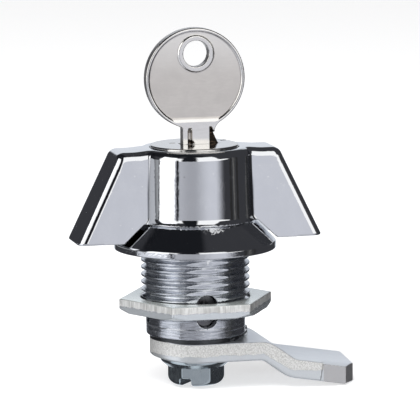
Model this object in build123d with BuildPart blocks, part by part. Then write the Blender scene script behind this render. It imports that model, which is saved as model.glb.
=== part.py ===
from build123d import *

import os
from math import asin, cos, degrees, radians, sin, sqrt, tan

# Swing handle lock: a die-cast wing handle turns in a flanged, threaded barrel that a nut clamps to a
# panel.  A wafer lock in the handle drives a bolt into slots in the barrel wall, and a cranked cam
# on the end of the handle's neck latches behind the frame.
#
# Frame: the origin is on the turning axis, in the plane of the flange's underside, where the panel
# lies.  +Z points to the key, +X along the wings and the cam.  Millimetres.

os.makedirs("parts", exist_ok=True)

# ---------------------------------------------------------------- driving dimensions
# Fits
running_gap = 0.05  # radial play of a piece that turns in another
thrust_gap = 0.1  # axial play under a piece that turns
slide_gap = 0.1  # play on each side of a piece that slides

# Housing: escutcheon flange and barrel
flange_dia = 32.8
rim_height = 1.4
flange_height = 5.8
hub_base_dia = 24.0  # top of the flange's cone, and the handle's hub that stands on it
thread_dia = 22.0  # M22 x 1.5, drawn plain at its crests
thread_length = 12.6
flats_width = 20.0
shank_dia = 20.1
barrel_length = 17.4
thread_runout = 0.5
slot_width = 4.3  # bolt slots through the barrel wall
slot_length = 6.7
slot_centre = -11.65

# Panel nut
nut_width = 27.5
nut_height = 2.8
nut_chamfer_angle = 30.0
nut_face_dia = 29.0  # the chamfer's circle: it only cuts the corners

# Wing handle
handle_top = 20.2
wing_bottom = 2.1
wing_top_span = 32.5
wing_foot_span = 50.4
wing_top_thickness = 10.2
casting_draft = 1.9
wing_corner_radius = 2.2
wing_foot_radius = 0.4
wing_edge_bevel = 0.85
wing_root_radius = 0.7  # hollow between hub and wing
hub_top_dia = 23.1
wing_relief = 0.9  # height of the clearance between the flange's cone and the wings
neck_dia = 15.9
square_size = 8.0  # driving square for washer and cam
square_short = 0.2  # the square ends inside the cam, so that the screw clamps it

# Lock plug
plug_dia = 12.0
plug_bottom = -1.0
head_dia = 17.83
head_thickness = 2.5
head_stand = 0.6  # the head's face above the handle's
stop_lug_inner = 7.1
stop_lug_outer = 8.3
stop_lug_height = 1.1
stop_lug_angle = 20.0
stop_lug_start = 225.0
lock_turn = 90.0

# Wafers
wafer_count = 5
first_wafer = 15.4  # height of the uppermost wafer's middle
wafer_pitch = 2.4
wafer_thickness = 1.2
wafer_width = 5.0
wafer_inset = 0.1  # the wafers' ends below the plug's surface
wafer_ear = 1.3
wafer_ear_width = 0.8
wafer_spring_dia = 1.1
wafer_spring_length = 2.6
wafer_spring_wire = 0.2
wafer_groove_depth = 0.9  # grooves in the handle's bore, where the wafers stand when the key is out

# Plug retainer
retainer_thickness = 1.0
retainer_width = 3.0
retainer_stand = 0.6
retainer_length = 4.0
retainer_height = 0.3
retainer_angle = 25.0  # the groove reaches this far past the retainer at each end

# Drive pin and locking bolt
crank_throw = 1.5
drive_pin_dia = 2.0
drive_pin_length = 6.0
drive_pin_grip = 3.3
spindle_wall = 0.4
bolt_width = 6.4
bolt_back_wall = 1.8
bolt_tip_depth = 0.3  # the withdrawn bolt's tip below the neck's surface
bolt_yoke_floor = 0.3
bolt_end_gap = 0.175  # the bolt's nose in the height of a slot

# Stop washer
stop_washer_inset = 0.1  # the washer's edge inside the cam's round end
stop_washer_thickness = 0.9
tab_width = 3.0
tab_inner = 9.4
tab_outer = 10.4
tab_rise = 1.2
tab_play_angle = 0.8
handle_turn = 90.0

# Cam
cam_width = 18.7
cam_thickness = 3.5
cam_bend_start = 12.4
cam_bend_end = 17.8
cam_drop = 3.9
cam_reach = 33.0
cam_tip_slope = 9.5
cam_bend_radius = 4.5
cam_end_skew = 1.2
cam_corner_length = 2.9
cam_corner_width = 4.9
cam_lead_start = 25.6
cam_lead_width = 3.0
cam_lead_drop = 0.8
cam_lead_trim = 0.25

# Cam screw and spring washer
screw_dia = 6.0
screw_head_width = 10.0
screw_head_height = 4.1
screw_dome = 2.1
screw_crown_dia = 7.4
screw_facet_angle = 46.5
screw_slot_width = 2.2
screw_slot_depth = 1.5
screw_slot_angle = 51.0
screw_bite = 6.2  # length of screw in the handle's neck
dish_washer_dia = 14.4
dish_washer_height = 1.9
dish_washer_foot = 11.6
dish_washer_bore = 6.3
dish_washer_edge = 1.05  # height of its upright edge

# Key
bow_dia = 20.4
bow_height = 34.4
bow_offset = 0.15
key_thickness = 2.4
bow_web = 1.9
bow_rim = 0.8
bow_chord = 26.0
key_hole_dia = 5.3
key_hole_height = 39.4
key_hole_offset = 0.3
blade_left = -2.75
blade_right = 5.0
blade_thin_from = 3.0
blade_thin = 1.2
blade_groove_left = -1.2
blade_groove_right = -0.5
blade_groove_depth = 0.6
blade_neck_right = 4.0  # the neck above the blade's shoulder
blade_root_left = 0.5
blade_root_right = 1.3
blade_tip = 1.6
blade_tip_clearance = 0.1
blade_mill_top = 24.5
blade_mill_slope = 3.5
blade_mill_runout = 0.4
blade_nose_left = 2.2  # rise of the blade's slanting tip on each side
blade_nose_right = 2.3
blade_nose_half = 0.9
key_play = 0.1
first_cut = 0.35
cut_step = 0.3
cut_flat = 1.3

# ---------------------------------------------------------------- sizes that follow
thread_r = thread_dia / 2
neck_r = neck_dia / 2
bore_r = neck_r + running_gap
hub_base_r = hub_base_dia / 2
hub_bottom = flange_height + thrust_gap
plug_r = plug_dia / 2
plug_bore_r = plug_r + running_gap
head_top = handle_top + head_stand
head_bottom = head_top - head_thickness
head_seat = head_bottom - thrust_gap
plug_seat = plug_bottom - thrust_gap
neck_shoulder = -(barrel_length + thrust_gap)
cam_top = neck_shoulder - stop_washer_thickness
cam_bottom = cam_top - cam_thickness
square_end = cam_bottom + square_short
square_hole = square_size + 2 * running_gap

bolt_travel = 2 * crank_throw * sin(radians(lock_turn / 2))
bolt_nose_width = slot_width - 2 * slide_gap
bolt_height = slot_length - 2 * bolt_end_gap
bolt_top = slot_centre + bolt_height / 2
bolt_tip = -(neck_r - bolt_tip_depth)
bolt_shoulder = bolt_travel - sqrt((neck_r - slide_gap) ** 2 - (bolt_width / 2) ** 2)
drive_pin_r = drive_pin_dia / 2
pin_x = -crank_throw * cos(radians(lock_turn / 2))
pin_y = crank_throw * sin(radians(lock_turn / 2))
bolt_back = pin_y + drive_pin_r + slide_gap + bolt_back_wall
channel_top = bolt_top + slide_gap
spindle_r = crank_throw + drive_pin_r + spindle_wall
spindle_end = channel_top + thrust_gap
drive_pin_top = spindle_end + drive_pin_grip
drive_pin_bottom = drive_pin_top - drive_pin_length

wafer_heights = [first_wafer - wafer_pitch * i for i in range(wafer_count)]
cut_edges = [blade_right - first_cut - cut_step * i for i in range(wafer_count)]
wafer_spring_y = wafer_width / 2 + wafer_ear / 2
keyway_floor = blade_tip - blade_tip_clearance


def shape(*points, mode=Mode.ADD):
    """A filled outline through the points, in the sketch that is open."""
    return Polygon(*points, align=None, mode=mode)


def turned(start_angle):
    """The upright half plane through the axis at an angle from +X."""
    a = radians(start_angle)
    return Plane(origin=(0, 0, 0), x_dir=(cos(a), sin(a), 0), z_dir=(sin(a), -cos(a), 0))


# ---------------------------------------------------------------- housing
# One zinc casting: low cone on a rim, barrel with two flats, four bolt slots and a cut-out in its end
# where the stop washer's tab runs.
tab_half_angle = degrees(asin(tab_width / 2 / tab_inner)) + tab_play_angle
tab_top = neck_shoulder + tab_rise
cutout_top = tab_top + thrust_gap

with BuildPart() as housing:
    with BuildSketch(Plane.XZ) as housing_section:
        shape(
            (bore_r, -barrel_length),
            (shank_dia / 2, -barrel_length),
            (shank_dia / 2, -thread_length - thread_runout),
            (thread_r, -thread_length - thread_runout),
            (thread_r, 0),
            (flange_dia / 2, 0),
            (flange_dia / 2, rim_height),
            (hub_base_r, flange_height),
            (bore_r, flange_height),
        )
    revolve(axis=Axis.Z)
    with BuildSketch(Plane.XY) as beside_flats:
        for side in (1, -1):
            with Locations((0, side * flats_width)):
                Rectangle(2 * thread_dia, flats_width)
    extrude(amount=-thread_length - thread_runout, mode=Mode.SUBTRACT)
    for wall in (Plane.XZ, Plane.YZ):
        with BuildSketch(wall) as bolt_slot:
            with Locations((0, slot_centre)):
                SlotOverall(slot_length, slot_width, rotation=90)
        extrude(amount=thread_dia, both=True, mode=Mode.SUBTRACT)
    with BuildSketch(turned(-tab_half_angle)) as tab_cutout:
        shape(
            (neck_r / 2, -2 * barrel_length),
            (thread_dia, -2 * barrel_length),
            (thread_dia, cutout_top),
            (neck_r / 2, cutout_top),
        )
    revolve(axis=Axis.Z, revolution_arc=handle_turn + 2 * tab_half_angle, mode=Mode.SUBTRACT)
housing.part.label = "housing"
export_step(housing.part, "parts/housing.step")

# ---------------------------------------------------------------- panel nut
nut_bottom = -thread_length
nut_top = nut_bottom + nut_height
nut_corner_r = nut_width / 2 / cos(radians(30))

with BuildPart() as panel_nut:
    with BuildSketch(Plane.XY.offset(nut_bottom)) as hexagon:
        RegularPolygon(nut_width / 2, 6, major_radius=False)
        Circle(thread_r + running_gap, mode=Mode.SUBTRACT)
    extrude(amount=nut_height)
    chamfer_rise = (nut_corner_r - nut_face_dia / 2) * tan(radians(nut_chamfer_angle))
    with BuildSketch(Plane.XZ) as chamfered_disc:
        shape(
            (0, nut_bottom),
            (nut_face_dia / 2, nut_bottom),
            (nut_corner_r, nut_bottom + chamfer_rise),
            (nut_corner_r, nut_top),
            (0, nut_top),
        )
    revolve(axis=Axis.Z, mode=Mode.INTERSECT)
panel_nut.part.label = "panel_nut"
export_step(panel_nut.part, "parts/panel_nut.step")

# ---------------------------------------------------------------- wing handle
# One zinc casting, chromed: hub, two drafted wings that clear the flange's cone, and a long neck that
# turns in the barrel and ends in the cam's driving square.
relief_top = hub_bottom + wing_relief
relief_foot = wing_bottom - 1
relief_slope = (flange_dia / 2 - hub_base_r) / (flange_height - rim_height)
wing_height = handle_top - wing_bottom
draft_run = wing_height * tan(radians(casting_draft))

with BuildPart() as wing_handle:
    # Hub and wings in plan, drafted upwards, with the hollows where the wings leave the hub
    with BuildSketch(Plane.XY.offset(wing_bottom)) as plan:
        Circle(hub_top_dia / 2 + draft_run)
        Rectangle(2 * wing_foot_span, wing_top_thickness + 2 * draft_run)
        fillet(plan.vertices().filter_by(lambda v: abs(v.X) < hub_base_dia), wing_root_radius)
    extrude(amount=wing_height, taper=casting_draft)
    # The wings' outline from the front
    with BuildSketch(Plane.XZ) as wing_front:
        shape(
            (-wing_foot_span / 2, wing_bottom),
            (wing_foot_span / 2, wing_bottom),
            (wing_top_span / 2, handle_top),
            (-wing_top_span / 2, handle_top),
        )
        fillet(wing_front.vertices().group_by(Axis.Y)[-1], wing_corner_radius)
    extrude(amount=hub_base_dia, both=True, mode=Mode.INTERSECT)
    # One broken edge round each side of the casting
    broken = wing_handle.faces().sort_by(Axis.Z)[-1].edges().filter_by(Axis.Y, reverse=True)
    chamfer(broken, wing_edge_bevel)
    feet = wing_handle.edges().filter_by(Axis.Y).group_by(Axis.Z)[0].sort_by(Axis.X)
    fillet([feet[0], feet[-1]], wing_foot_radius)

    # Clearance over the flange
    with BuildSketch(Plane.XZ) as relief_section:
        shape(
            (0, hub_bottom),
            (hub_base_r, hub_bottom),
            (hub_base_r, relief_top),
            (hub_base_r + relief_slope * (relief_top - relief_foot), relief_foot),
            (0, relief_foot),
        )
    revolve(axis=Axis.Z, mode=Mode.SUBTRACT)

    # Neck and driving square
    with BuildSketch(Plane.XY.offset(hub_bottom)) as neck_section:
        Circle(neck_r)
    extrude(amount=neck_shoulder - hub_bottom)
    with BuildSketch(Plane.XY.offset(neck_shoulder)) as square_section:
        Rectangle(square_size, square_size)
    extrude(amount=square_end - neck_shoulder)

    # Stepped bore for the plug and its spindle
    with BuildSketch(Plane.XZ) as plug_bore:
        shape(
            (0, channel_top - slide_gap),
            (spindle_r + slide_gap, channel_top - slide_gap),
            (spindle_r + slide_gap, plug_seat),
            (plug_bore_r, plug_seat),
            (plug_bore_r, head_seat),
            (head_dia / 2 + slide_gap, head_seat),
            (head_dia / 2 + slide_gap, handle_top + 1),
            (0, handle_top + 1),
        )
    revolve(axis=Axis.Z, mode=Mode.SUBTRACT)

    # Grooves that the wafers lock in, every quarter turn
    with BuildSketch(Plane.XY.offset(head_seat)) as wafer_grooves:
        with PolarLocations((plug_bore_r + wafer_groove_depth) / 2, 4):
            Rectangle(plug_bore_r + wafer_groove_depth, wafer_width + 4 * slide_gap)
    extrude(amount=wafer_heights[-1] - wafer_thickness - head_seat, mode=Mode.SUBTRACT)

    # Groove that the retainer runs in, and the arc of the head's stop lug
    with BuildSketch(turned(180 - retainer_angle)) as retainer_groove:
        with Locations((plug_r / 2 + (retainer_stand + slide_gap) / 2, retainer_height)):
            Rectangle(plug_r + retainer_stand + slide_gap, retainer_thickness + 3 * slide_gap)
    revolve(axis=Axis.Z, revolution_arc=lock_turn + 2 * retainer_angle, mode=Mode.SUBTRACT)
    with BuildSketch(turned(stop_lug_start - stop_lug_angle / 2 - tab_play_angle)) as lug_track:
        shape(
            (stop_lug_inner - slide_gap, head_seat - stop_lug_height),
            (stop_lug_outer + slide_gap, head_seat - stop_lug_height),
            (stop_lug_outer + slide_gap, head_seat + slide_gap),
            (stop_lug_inner - slide_gap, head_seat + slide_gap),
        )
    revolve(
        axis=Axis.Z,
        revolution_arc=lock_turn + stop_lug_angle + 2 * tab_play_angle,
        mode=Mode.SUBTRACT,
    )

    # Bolt channel through the neck's wall, and the screw's hole
    channel_back = bolt_back + 3 * slide_gap
    with BuildSketch(Plane.XY.offset(channel_top)) as bolt_channel:
        shape(
            (-bolt_width / 2 - slide_gap, -neck_dia),
            (bolt_width / 2 + slide_gap, -neck_dia),
            (bolt_width / 2 + slide_gap, channel_back),
            (-bolt_width / 2 - slide_gap, channel_back),
        )
    extrude(amount=-bolt_height - 2 * slide_gap, mode=Mode.SUBTRACT)
    with BuildSketch(Plane.XY.offset(square_end)) as screw_hole:
        Circle(screw_dia / 2 + running_gap)
    extrude(amount=screw_bite - square_short, mode=Mode.SUBTRACT)
wing_handle.part.label = "wing_handle"
export_step(wing_handle.part, "parts/wing_handle.step")

# ---------------------------------------------------------------- key
# The blade's right edge steps in towards the tip, one flat for each wafer. Its shoulder falls along
# the slope where the milling of its thin side runs out.
shoulder_foot = blade_mill_top - blade_mill_slope
mill_corner = blade_thin_from + blade_mill_runout
shoulder_share = (blade_right - blade_neck_right) / (blade_right - mill_corner)
shoulder_top = shoulder_foot + blade_mill_slope * shoulder_share
blade_points = [(blade_left, bow_height), (blade_left, blade_tip + blade_nose_left)]
tip_x = (blade_left + cut_edges[-1]) / 2
blade_points += [(tip_x - blade_nose_half, blade_tip), (tip_x + blade_nose_half, blade_tip)]
blade_points += [(cut_edges[-1], blade_tip + blade_nose_right)]
for z, x in reversed(list(zip(wafer_heights, cut_edges))):
    blade_points += [(x, z - cut_flat / 2), (x, z + cut_flat / 2)]
blade_points += [(blade_right, first_wafer + wafer_pitch), (blade_right, shoulder_foot)]
blade_points += [(blade_neck_right, shoulder_top), (blade_neck_right, bow_height)]

with BuildPart() as key:
    with BuildSketch(Plane.XZ) as key_outline:
        with Locations((bow_offset, bow_height)):
            Circle(bow_dia / 2)
        shape(*blade_points)
        roots = key_outline.vertices().filter_by(lambda v: shoulder_top + 1 < v.Y < bow_chord)
        fillet(roots.sort_by(Axis.X)[0], blade_root_left)
        roots = key_outline.vertices().filter_by(lambda v: shoulder_top + 1 < v.Y < bow_chord)
        fillet(roots.sort_by(Axis.X)[-1], blade_root_right)
    extrude(amount=key_thickness / 2, both=True)
    # Thin side of the blade, with its slanting run-out, and the groove beside it
    with BuildSketch(Plane.XZ.offset(key_thickness / 2 - blade_thin)) as thin_side:
        shape(
            (blade_thin_from, 0),
            (bow_dia / 2, 0),
            (bow_dia / 2, shoulder_top),
            (blade_neck_right, shoulder_top),
            (mill_corner, blade_mill_top),
            (blade_thin_from, blade_mill_top),
        )
    extrude(amount=key_thickness, mode=Mode.SUBTRACT)
    with BuildSketch(Plane.XZ.offset(key_thickness / 2 - blade_groove_depth)) as blade_groove:
        shape(
            (blade_groove_left, 0),
            (blade_groove_right, 0),
            (blade_groove_right, blade_mill_top),
            (blade_groove_left, blade_mill_top),
        )
    extrude(amount=key_thickness, mode=Mode.SUBTRACT)
    # Coined faces inside the bow's rim
    for face_side in (1, -1):
        with BuildSketch(Plane.XZ.offset(face_side * bow_web / 2)) as coined_face:
            with Locations((bow_offset, bow_height)):
                Circle(bow_dia / 2 - bow_rim)
            with Locations((0, bow_chord - bow_dia / 2)):
                Rectangle(2 * bow_dia, bow_dia, mode=Mode.SUBTRACT)
        extrude(amount=face_side * key_thickness, mode=Mode.SUBTRACT)
    with BuildSketch(Plane.XZ) as ring_hole:
        with Locations((key_hole_offset, key_hole_height)):
            Circle(key_hole_dia / 2)
    extrude(amount=key_thickness, both=True, mode=Mode.SUBTRACT)
key.part.label = "key"
export_step(key.part, "parts/key.step")

# ---------------------------------------------------------------- lock plug
# Polished head with the keyway, body cut by the wafers' slots, and a spindle with an eccentric pin.
with BuildPart() as lock_plug:
    with BuildSketch(Plane.XZ) as plug_section:
        shape(
            (0, spindle_end),
            (spindle_r, spindle_end),
            (spindle_r, plug_bottom),
            (plug_r, plug_bottom),
            (plug_r, head_bottom),
            (head_dia / 2, head_bottom),
            (head_dia / 2, head_top),
            (0, head_top),
        )
    revolve(axis=Axis.Z)
    with BuildSketch(turned(stop_lug_start - stop_lug_angle / 2)) as stop_lug:
        shape(
            (stop_lug_inner, head_bottom - stop_lug_height + slide_gap),
            (stop_lug_outer, head_bottom - stop_lug_height + slide_gap),
            (stop_lug_outer, head_bottom + slide_gap),
            (stop_lug_inner, head_bottom + slide_gap),
        )
    revolve(axis=Axis.Z, revolution_arc=stop_lug_angle)
    with BuildSketch(Plane.XY.offset(keyway_floor)) as keyway:
        back = key_thickness / 2
        shape(
            (blade_left, -back),
            (blade_groove_left, -back),
            (blade_groove_left, blade_groove_depth - back),
            (blade_groove_right, blade_groove_depth - back),
            (blade_groove_right, -back),
            (blade_thin_from, -back),
            (blade_thin_from, back - blade_thin),
            (blade_right, back - blade_thin),
            (blade_right, back),
            (blade_left, back),
        )
        offset(amount=key_play, kind=Kind.INTERSECTION)
    extrude(amount=head_top - keyway_floor + 1, mode=Mode.SUBTRACT)
    for z in wafer_heights:
        with BuildSketch(Plane.XY.offset(z)) as wafer_slot:
            Rectangle(plug_dia + 1, wafer_width + 2 * slide_gap)
            with Locations((-wafer_spring_length / 2, 0)):
                Rectangle(
                    wafer_spring_length + wafer_ear_width + 2 * slide_gap,
                    wafer_width / 2 + wafer_ear + slide_gap,
                    align=Align.MIN,
                )
        extrude(amount=wafer_thickness / 2 + slide_gap / 2, both=True, mode=Mode.SUBTRACT)
    # Pocket for the retainer and its spring, and the hole that the drive pin is pressed in
    retainer_back = -(plug_r + retainer_stand - retainer_length)
    with BuildSketch(Plane.XY.offset(retainer_height)) as retainer_pocket:
        shape(
            (-plug_dia, -retainer_width / 2 - slide_gap),
            (0, -retainer_width / 2 - slide_gap),
            (0, retainer_width / 2 + slide_gap),
            (-plug_dia, retainer_width / 2 + slide_gap),
        )
    extrude(amount=retainer_thickness / 2 + slide_gap / 2, both=True, mode=Mode.SUBTRACT)
    with BuildSketch(Plane.XY.offset(spindle_end)) as pin_hole:
        with Locations((pin_x, pin_y)):
            Circle(drive_pin_r)
    extrude(amount=drive_pin_grip, mode=Mode.SUBTRACT)
lock_plug.part.label = "lock_plug"
export_step(lock_plug.part, "parts/lock_plug.step")

# ---------------------------------------------------------------- wafers and their springs
for number, (z, x) in enumerate(zip(wafer_heights, cut_edges), start=1):
    with BuildPart() as wafer:
        with BuildSketch(Plane.XY.offset(z)) as wafer_outline:
            Circle(plug_r - wafer_inset)
            Rectangle(plug_dia, wafer_width, mode=Mode.INTERSECT)
            with Locations((wafer_spring_length / 2, 0)):
                Rectangle(wafer_ear_width, wafer_width / 2 + wafer_ear, align=(Align.MIN, Align.MIN))
            shape(
                (blade_left - key_play, -key_thickness / 2 - key_play),
                (x + key_play, -key_thickness / 2 - key_play),
                (x + key_play, key_thickness / 2 + key_play),
                (blade_left - key_play, key_thickness / 2 + key_play),
                mode=Mode.SUBTRACT,
            )
        extrude(amount=wafer_thickness / 2, both=True)
    wafer.part.label = f"wafer_{number}"
    export_step(wafer.part, f"parts/wafer_{number}.step")

    with BuildPart() as wafer_spring:
        with BuildSketch(Plane.YZ.offset(-wafer_spring_length / 2)) as spring_section:
            with Locations((wafer_spring_y, z)):
                RegularPolygon(wafer_spring_dia / 2, 6)
                RegularPolygon(wafer_spring_dia / 2 - wafer_spring_wire, 6, mode=Mode.SUBTRACT)
        extrude(amount=wafer_spring_length)
    wafer_spring.part.label = f"wafer_spring_{number}"
    export_step(wafer_spring.part, f"parts/wafer_spring_{number}.step")

# ---------------------------------------------------------------- plug retainer
with BuildPart() as plug_retainer:
    with BuildSketch(Plane.XY.offset(retainer_height)) as retainer_outline:
        Circle(plug_r + retainer_stand)
        shape(
            (-plug_dia, -retainer_width / 2),
            (retainer_back, -retainer_width / 2),
            (retainer_back, retainer_width / 2),
            (-plug_dia, retainer_width / 2),
            mode=Mode.INTERSECT,
        )
    extrude(amount=retainer_thickness / 2, both=True)
plug_retainer.part.label = "plug_retainer"
export_step(plug_retainer.part, "parts/plug_retainer.step")

retainer_spring_r = (retainer_thickness - slide_gap) / 2
with BuildPart() as retainer_spring:
    with BuildSketch(Plane.YZ) as retainer_spring_section:
        with Locations((0, retainer_height)):
            RegularPolygon(retainer_spring_r, 6)
            RegularPolygon(retainer_spring_r - wafer_spring_wire, 6, mode=Mode.SUBTRACT)
    extrude(amount=retainer_back)
retainer_spring.part.label = "retainer_spring"
export_step(retainer_spring.part, "parts/retainer_spring.step")

# ---------------------------------------------------------------- drive pin and locking bolt
with BuildPart() as drive_pin:
    with BuildSketch(Plane.XY.offset(drive_pin_bottom)) as pin_section:
        with Locations((pin_x, pin_y)):
            Circle(drive_pin_r)
    extrude(amount=drive_pin_length)
drive_pin.part.label = "drive_pin"
export_step(drive_pin.part, "parts/drive_pin.step")

yoke_floor = drive_pin_bottom - bolt_yoke_floor
yoke_run = crank_throw + pin_x
with BuildPart() as locking_bolt:
    with BuildSketch(Plane.XY.offset(bolt_top)) as bolt_body:
        shape(
            (-bolt_width / 2, bolt_shoulder),
            (bolt_width / 2, bolt_shoulder),
            (bolt_width / 2, bolt_back),
            (-bolt_width / 2, bolt_back),
        )
    extrude(amount=-bolt_height)
    with BuildSketch(Plane.XZ.offset(-bolt_shoulder)) as bolt_nose:
        with Locations((0, slot_centre)):
            SlotOverall(bolt_height, bolt_nose_width, rotation=90)
    extrude(amount=bolt_shoulder - bolt_tip)
    # Yoke that the drive pin runs in, across the bolt's travel
    with BuildSketch(Plane.XY.offset(bolt_top)) as yoke:
        with Locations((pin_x - yoke_run / 2, pin_y)):
            SlotCenterToCenter(yoke_run + 2 * slide_gap, drive_pin_dia + 2 * slide_gap)
    extrude(amount=yoke_floor - bolt_top, mode=Mode.SUBTRACT)
locking_bolt.part.label = "locking_bolt"
export_step(locking_bolt.part, "parts/locking_bolt.step")

# ---------------------------------------------------------------- stop washer
with BuildPart() as stop_washer:
    with BuildSketch(Plane.XY.offset(cam_top)) as washer_outline:
        Circle(cam_width / 2 - stop_washer_inset)
        with Locations((0, -tab_width / 2)):
            Rectangle(tab_outer, tab_width, align=Align.MIN)
        Rectangle(square_hole, square_hole, mode=Mode.SUBTRACT)
    extrude(amount=stop_washer_thickness)
    with BuildSketch(Plane.XY.offset(neck_shoulder)) as tab_outline:
        with Locations((tab_inner, -tab_width / 2)):
            Rectangle(tab_outer - tab_inner, tab_width, align=Align.MIN)
    extrude(amount=tab_rise)
stop_washer.part.label = "stop_washer"
export_step(stop_washer.part, "parts/stop_washer.step")

# ---------------------------------------------------------------- cam
# Blanked from strip and cranked down, with a ground lead-in on the side that meets the frame first.
tip_fall = (cam_reach - cam_bend_end) * tan(radians(cam_tip_slope))
with BuildPart() as cam:
    with BuildSketch(Plane.XZ) as cam_profile:
        with BuildLine() as cam_spine:
            FilletPolyline(
                (-cam_width, cam_top - cam_thickness / 2),
                (cam_bend_start, cam_top - cam_thickness / 2),
                (cam_bend_end, cam_top - cam_thickness / 2 - cam_drop),
                (2 * cam_reach - cam_bend_end, cam_top - cam_thickness / 2 - cam_drop - 2 * tip_fall),
                radius=cam_bend_radius,
            )
        trace(line_width=cam_thickness)
    extrude(amount=cam_width / 2, both=True)
    with BuildSketch(Plane.XY.offset(cam_top + 1)) as cam_outline:
        Circle(cam_width / 2)
        shape(
            (0, -cam_width / 2),
            (cam_reach - cam_end_skew - cam_corner_length, -cam_width / 2),
            (cam_reach - cam_end_skew, cam_corner_width - cam_width / 2),
            (cam_reach, cam_width / 2),
            (0, cam_width / 2),
        )
    extrude(amount=-cam_reach, mode=Mode.INTERSECT)
    with BuildSketch(Plane.XY.offset(cam_top + 1)) as square_opening:
        Rectangle(square_hole, square_hole)
    extrude(amount=-cam_reach, mode=Mode.SUBTRACT)
    lead_top = cam_top - cam_drop - (cam_lead_start - cam_bend_end) * tan(radians(cam_tip_slope))
    lead_plane = Plane(
        origin=(cam_lead_start, -cam_width / 2, lead_top),
        x_dir=(0, 1, 0),
        z_dir=(cos(radians(cam_tip_slope)), 0, -sin(radians(cam_tip_slope))),
    )
    with BuildSketch(lead_plane) as lead_in:
        shape((-1, 1), (cam_lead_width, 1), (cam_lead_width, 0), (0, -cam_lead_drop), (-1, -cam_lead_drop))
        shape(
            (-1, 1), (cam_lead_trim, 1), (cam_lead_trim, -2 * cam_thickness), (-1, -2 * cam_thickness)
        )
    extrude(amount=cam_reach, mode=Mode.SUBTRACT)
cam.part.label = "cam"
export_step(cam.part, "parts/cam.step")

# ---------------------------------------------------------------- spring washer and cam screw
with BuildPart() as dish_washer:
    with BuildSketch(Plane.XZ) as dish_section:
        shape(
            (dish_washer_bore / 2, cam_bottom),
            (dish_washer_dia / 2, cam_bottom),
            (dish_washer_dia / 2, cam_bottom - dish_washer_edge),
            (dish_washer_foot / 2, cam_bottom - dish_washer_height),
            (dish_washer_bore / 2, cam_bottom - dish_washer_height),
        )
    revolve(axis=Axis.Z)
dish_washer.part.label = "dish_washer"
export_step(dish_washer.part, "parts/dish_washer.step")

head_seat_z = cam_bottom - dish_washer_height
screw_end = head_seat_z - screw_head_height
head_corner_r = screw_head_width / 2 / cos(radians(30))
with BuildPart() as cam_screw:
    with BuildSketch(Plane.XY.offset(head_seat_z)) as head_hexagon:
        RegularPolygon(screw_head_width / 2, 6, major_radius=False, rotation=screw_facet_angle)
    extrude(amount=-screw_head_height)
    with BuildSketch(Plane.XZ) as dome_section:
        shape(
            (0, screw_end),
            (screw_crown_dia / 2, screw_end),
            (screw_head_width / 2, screw_end + screw_dome / 3),
            (head_corner_r, screw_end + screw_dome),
            (head_corner_r, head_seat_z),
            (0, head_seat_z),
        )
    revolve(axis=Axis.Z, mode=Mode.INTERSECT)
    with BuildSketch(Plane.XY.offset(screw_end)) as driver_slot:
        Rectangle(3 * head_corner_r, screw_slot_width, rotation=screw_slot_angle)
    extrude(amount=screw_slot_depth, mode=Mode.SUBTRACT)
    with BuildSketch(Plane.XY.offset(head_seat_z)) as screw_shank:
        Circle(screw_dia / 2)
    extrude(amount=square_end + screw_bite - square_short - 2 * slide_gap - head_seat_z)
cam_screw.part.label = "cam_screw"
export_step(cam_screw.part, "parts/cam_screw.step")
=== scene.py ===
from math import cos, pi, radians, sin, sqrt, tan

import bpy
import numpy as np
from mathutils import Matrix, Vector


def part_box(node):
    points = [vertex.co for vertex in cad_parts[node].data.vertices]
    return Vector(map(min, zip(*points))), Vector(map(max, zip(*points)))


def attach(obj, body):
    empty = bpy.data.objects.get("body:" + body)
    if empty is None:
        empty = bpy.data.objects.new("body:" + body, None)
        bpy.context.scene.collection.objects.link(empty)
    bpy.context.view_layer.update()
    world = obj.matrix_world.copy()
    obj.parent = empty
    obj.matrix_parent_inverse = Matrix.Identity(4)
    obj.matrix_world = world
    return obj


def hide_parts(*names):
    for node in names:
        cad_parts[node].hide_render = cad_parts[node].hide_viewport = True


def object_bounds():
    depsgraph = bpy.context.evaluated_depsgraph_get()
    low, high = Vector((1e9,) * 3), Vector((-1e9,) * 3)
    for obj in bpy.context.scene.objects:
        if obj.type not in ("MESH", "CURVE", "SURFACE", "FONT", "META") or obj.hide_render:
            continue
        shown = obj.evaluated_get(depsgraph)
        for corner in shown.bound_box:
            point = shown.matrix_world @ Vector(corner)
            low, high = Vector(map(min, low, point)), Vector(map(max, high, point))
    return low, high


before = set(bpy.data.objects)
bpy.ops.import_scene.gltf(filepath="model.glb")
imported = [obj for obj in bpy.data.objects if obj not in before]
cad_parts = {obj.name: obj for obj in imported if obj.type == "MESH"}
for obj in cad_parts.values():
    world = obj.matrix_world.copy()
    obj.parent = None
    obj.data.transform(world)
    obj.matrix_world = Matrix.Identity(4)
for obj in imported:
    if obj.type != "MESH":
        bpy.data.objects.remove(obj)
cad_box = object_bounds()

scene = bpy.context.scene

# ------------------------------------------------------------------ camera, floor and studio light
# The lock stands by itself in a white studio, seen slightly from the left and from above through a long
# lens.  A broad soft box stands to the left, a dark drape to the right, and the ceiling is unlit.
view_turn = radians(-13.5)
view_rise = radians(8.67)
view_distance = 0.800
view_height = 0.0075261
view_roll = radians(-0.50)

towards_camera = Vector((
    sin(view_turn) * cos(view_rise),
    -cos(view_turn) * cos(view_rise),
    sin(view_rise),
))
across = Vector((cos(view_turn), sin(view_turn), 0))
upwards = towards_camera.cross(across)
camera_right = cos(view_roll) * across + sin(view_roll) * upwards
camera_up = cos(view_roll) * upwards - sin(view_roll) * across
camera_place = Vector((0, 0, view_height)) + view_distance * towards_camera

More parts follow.
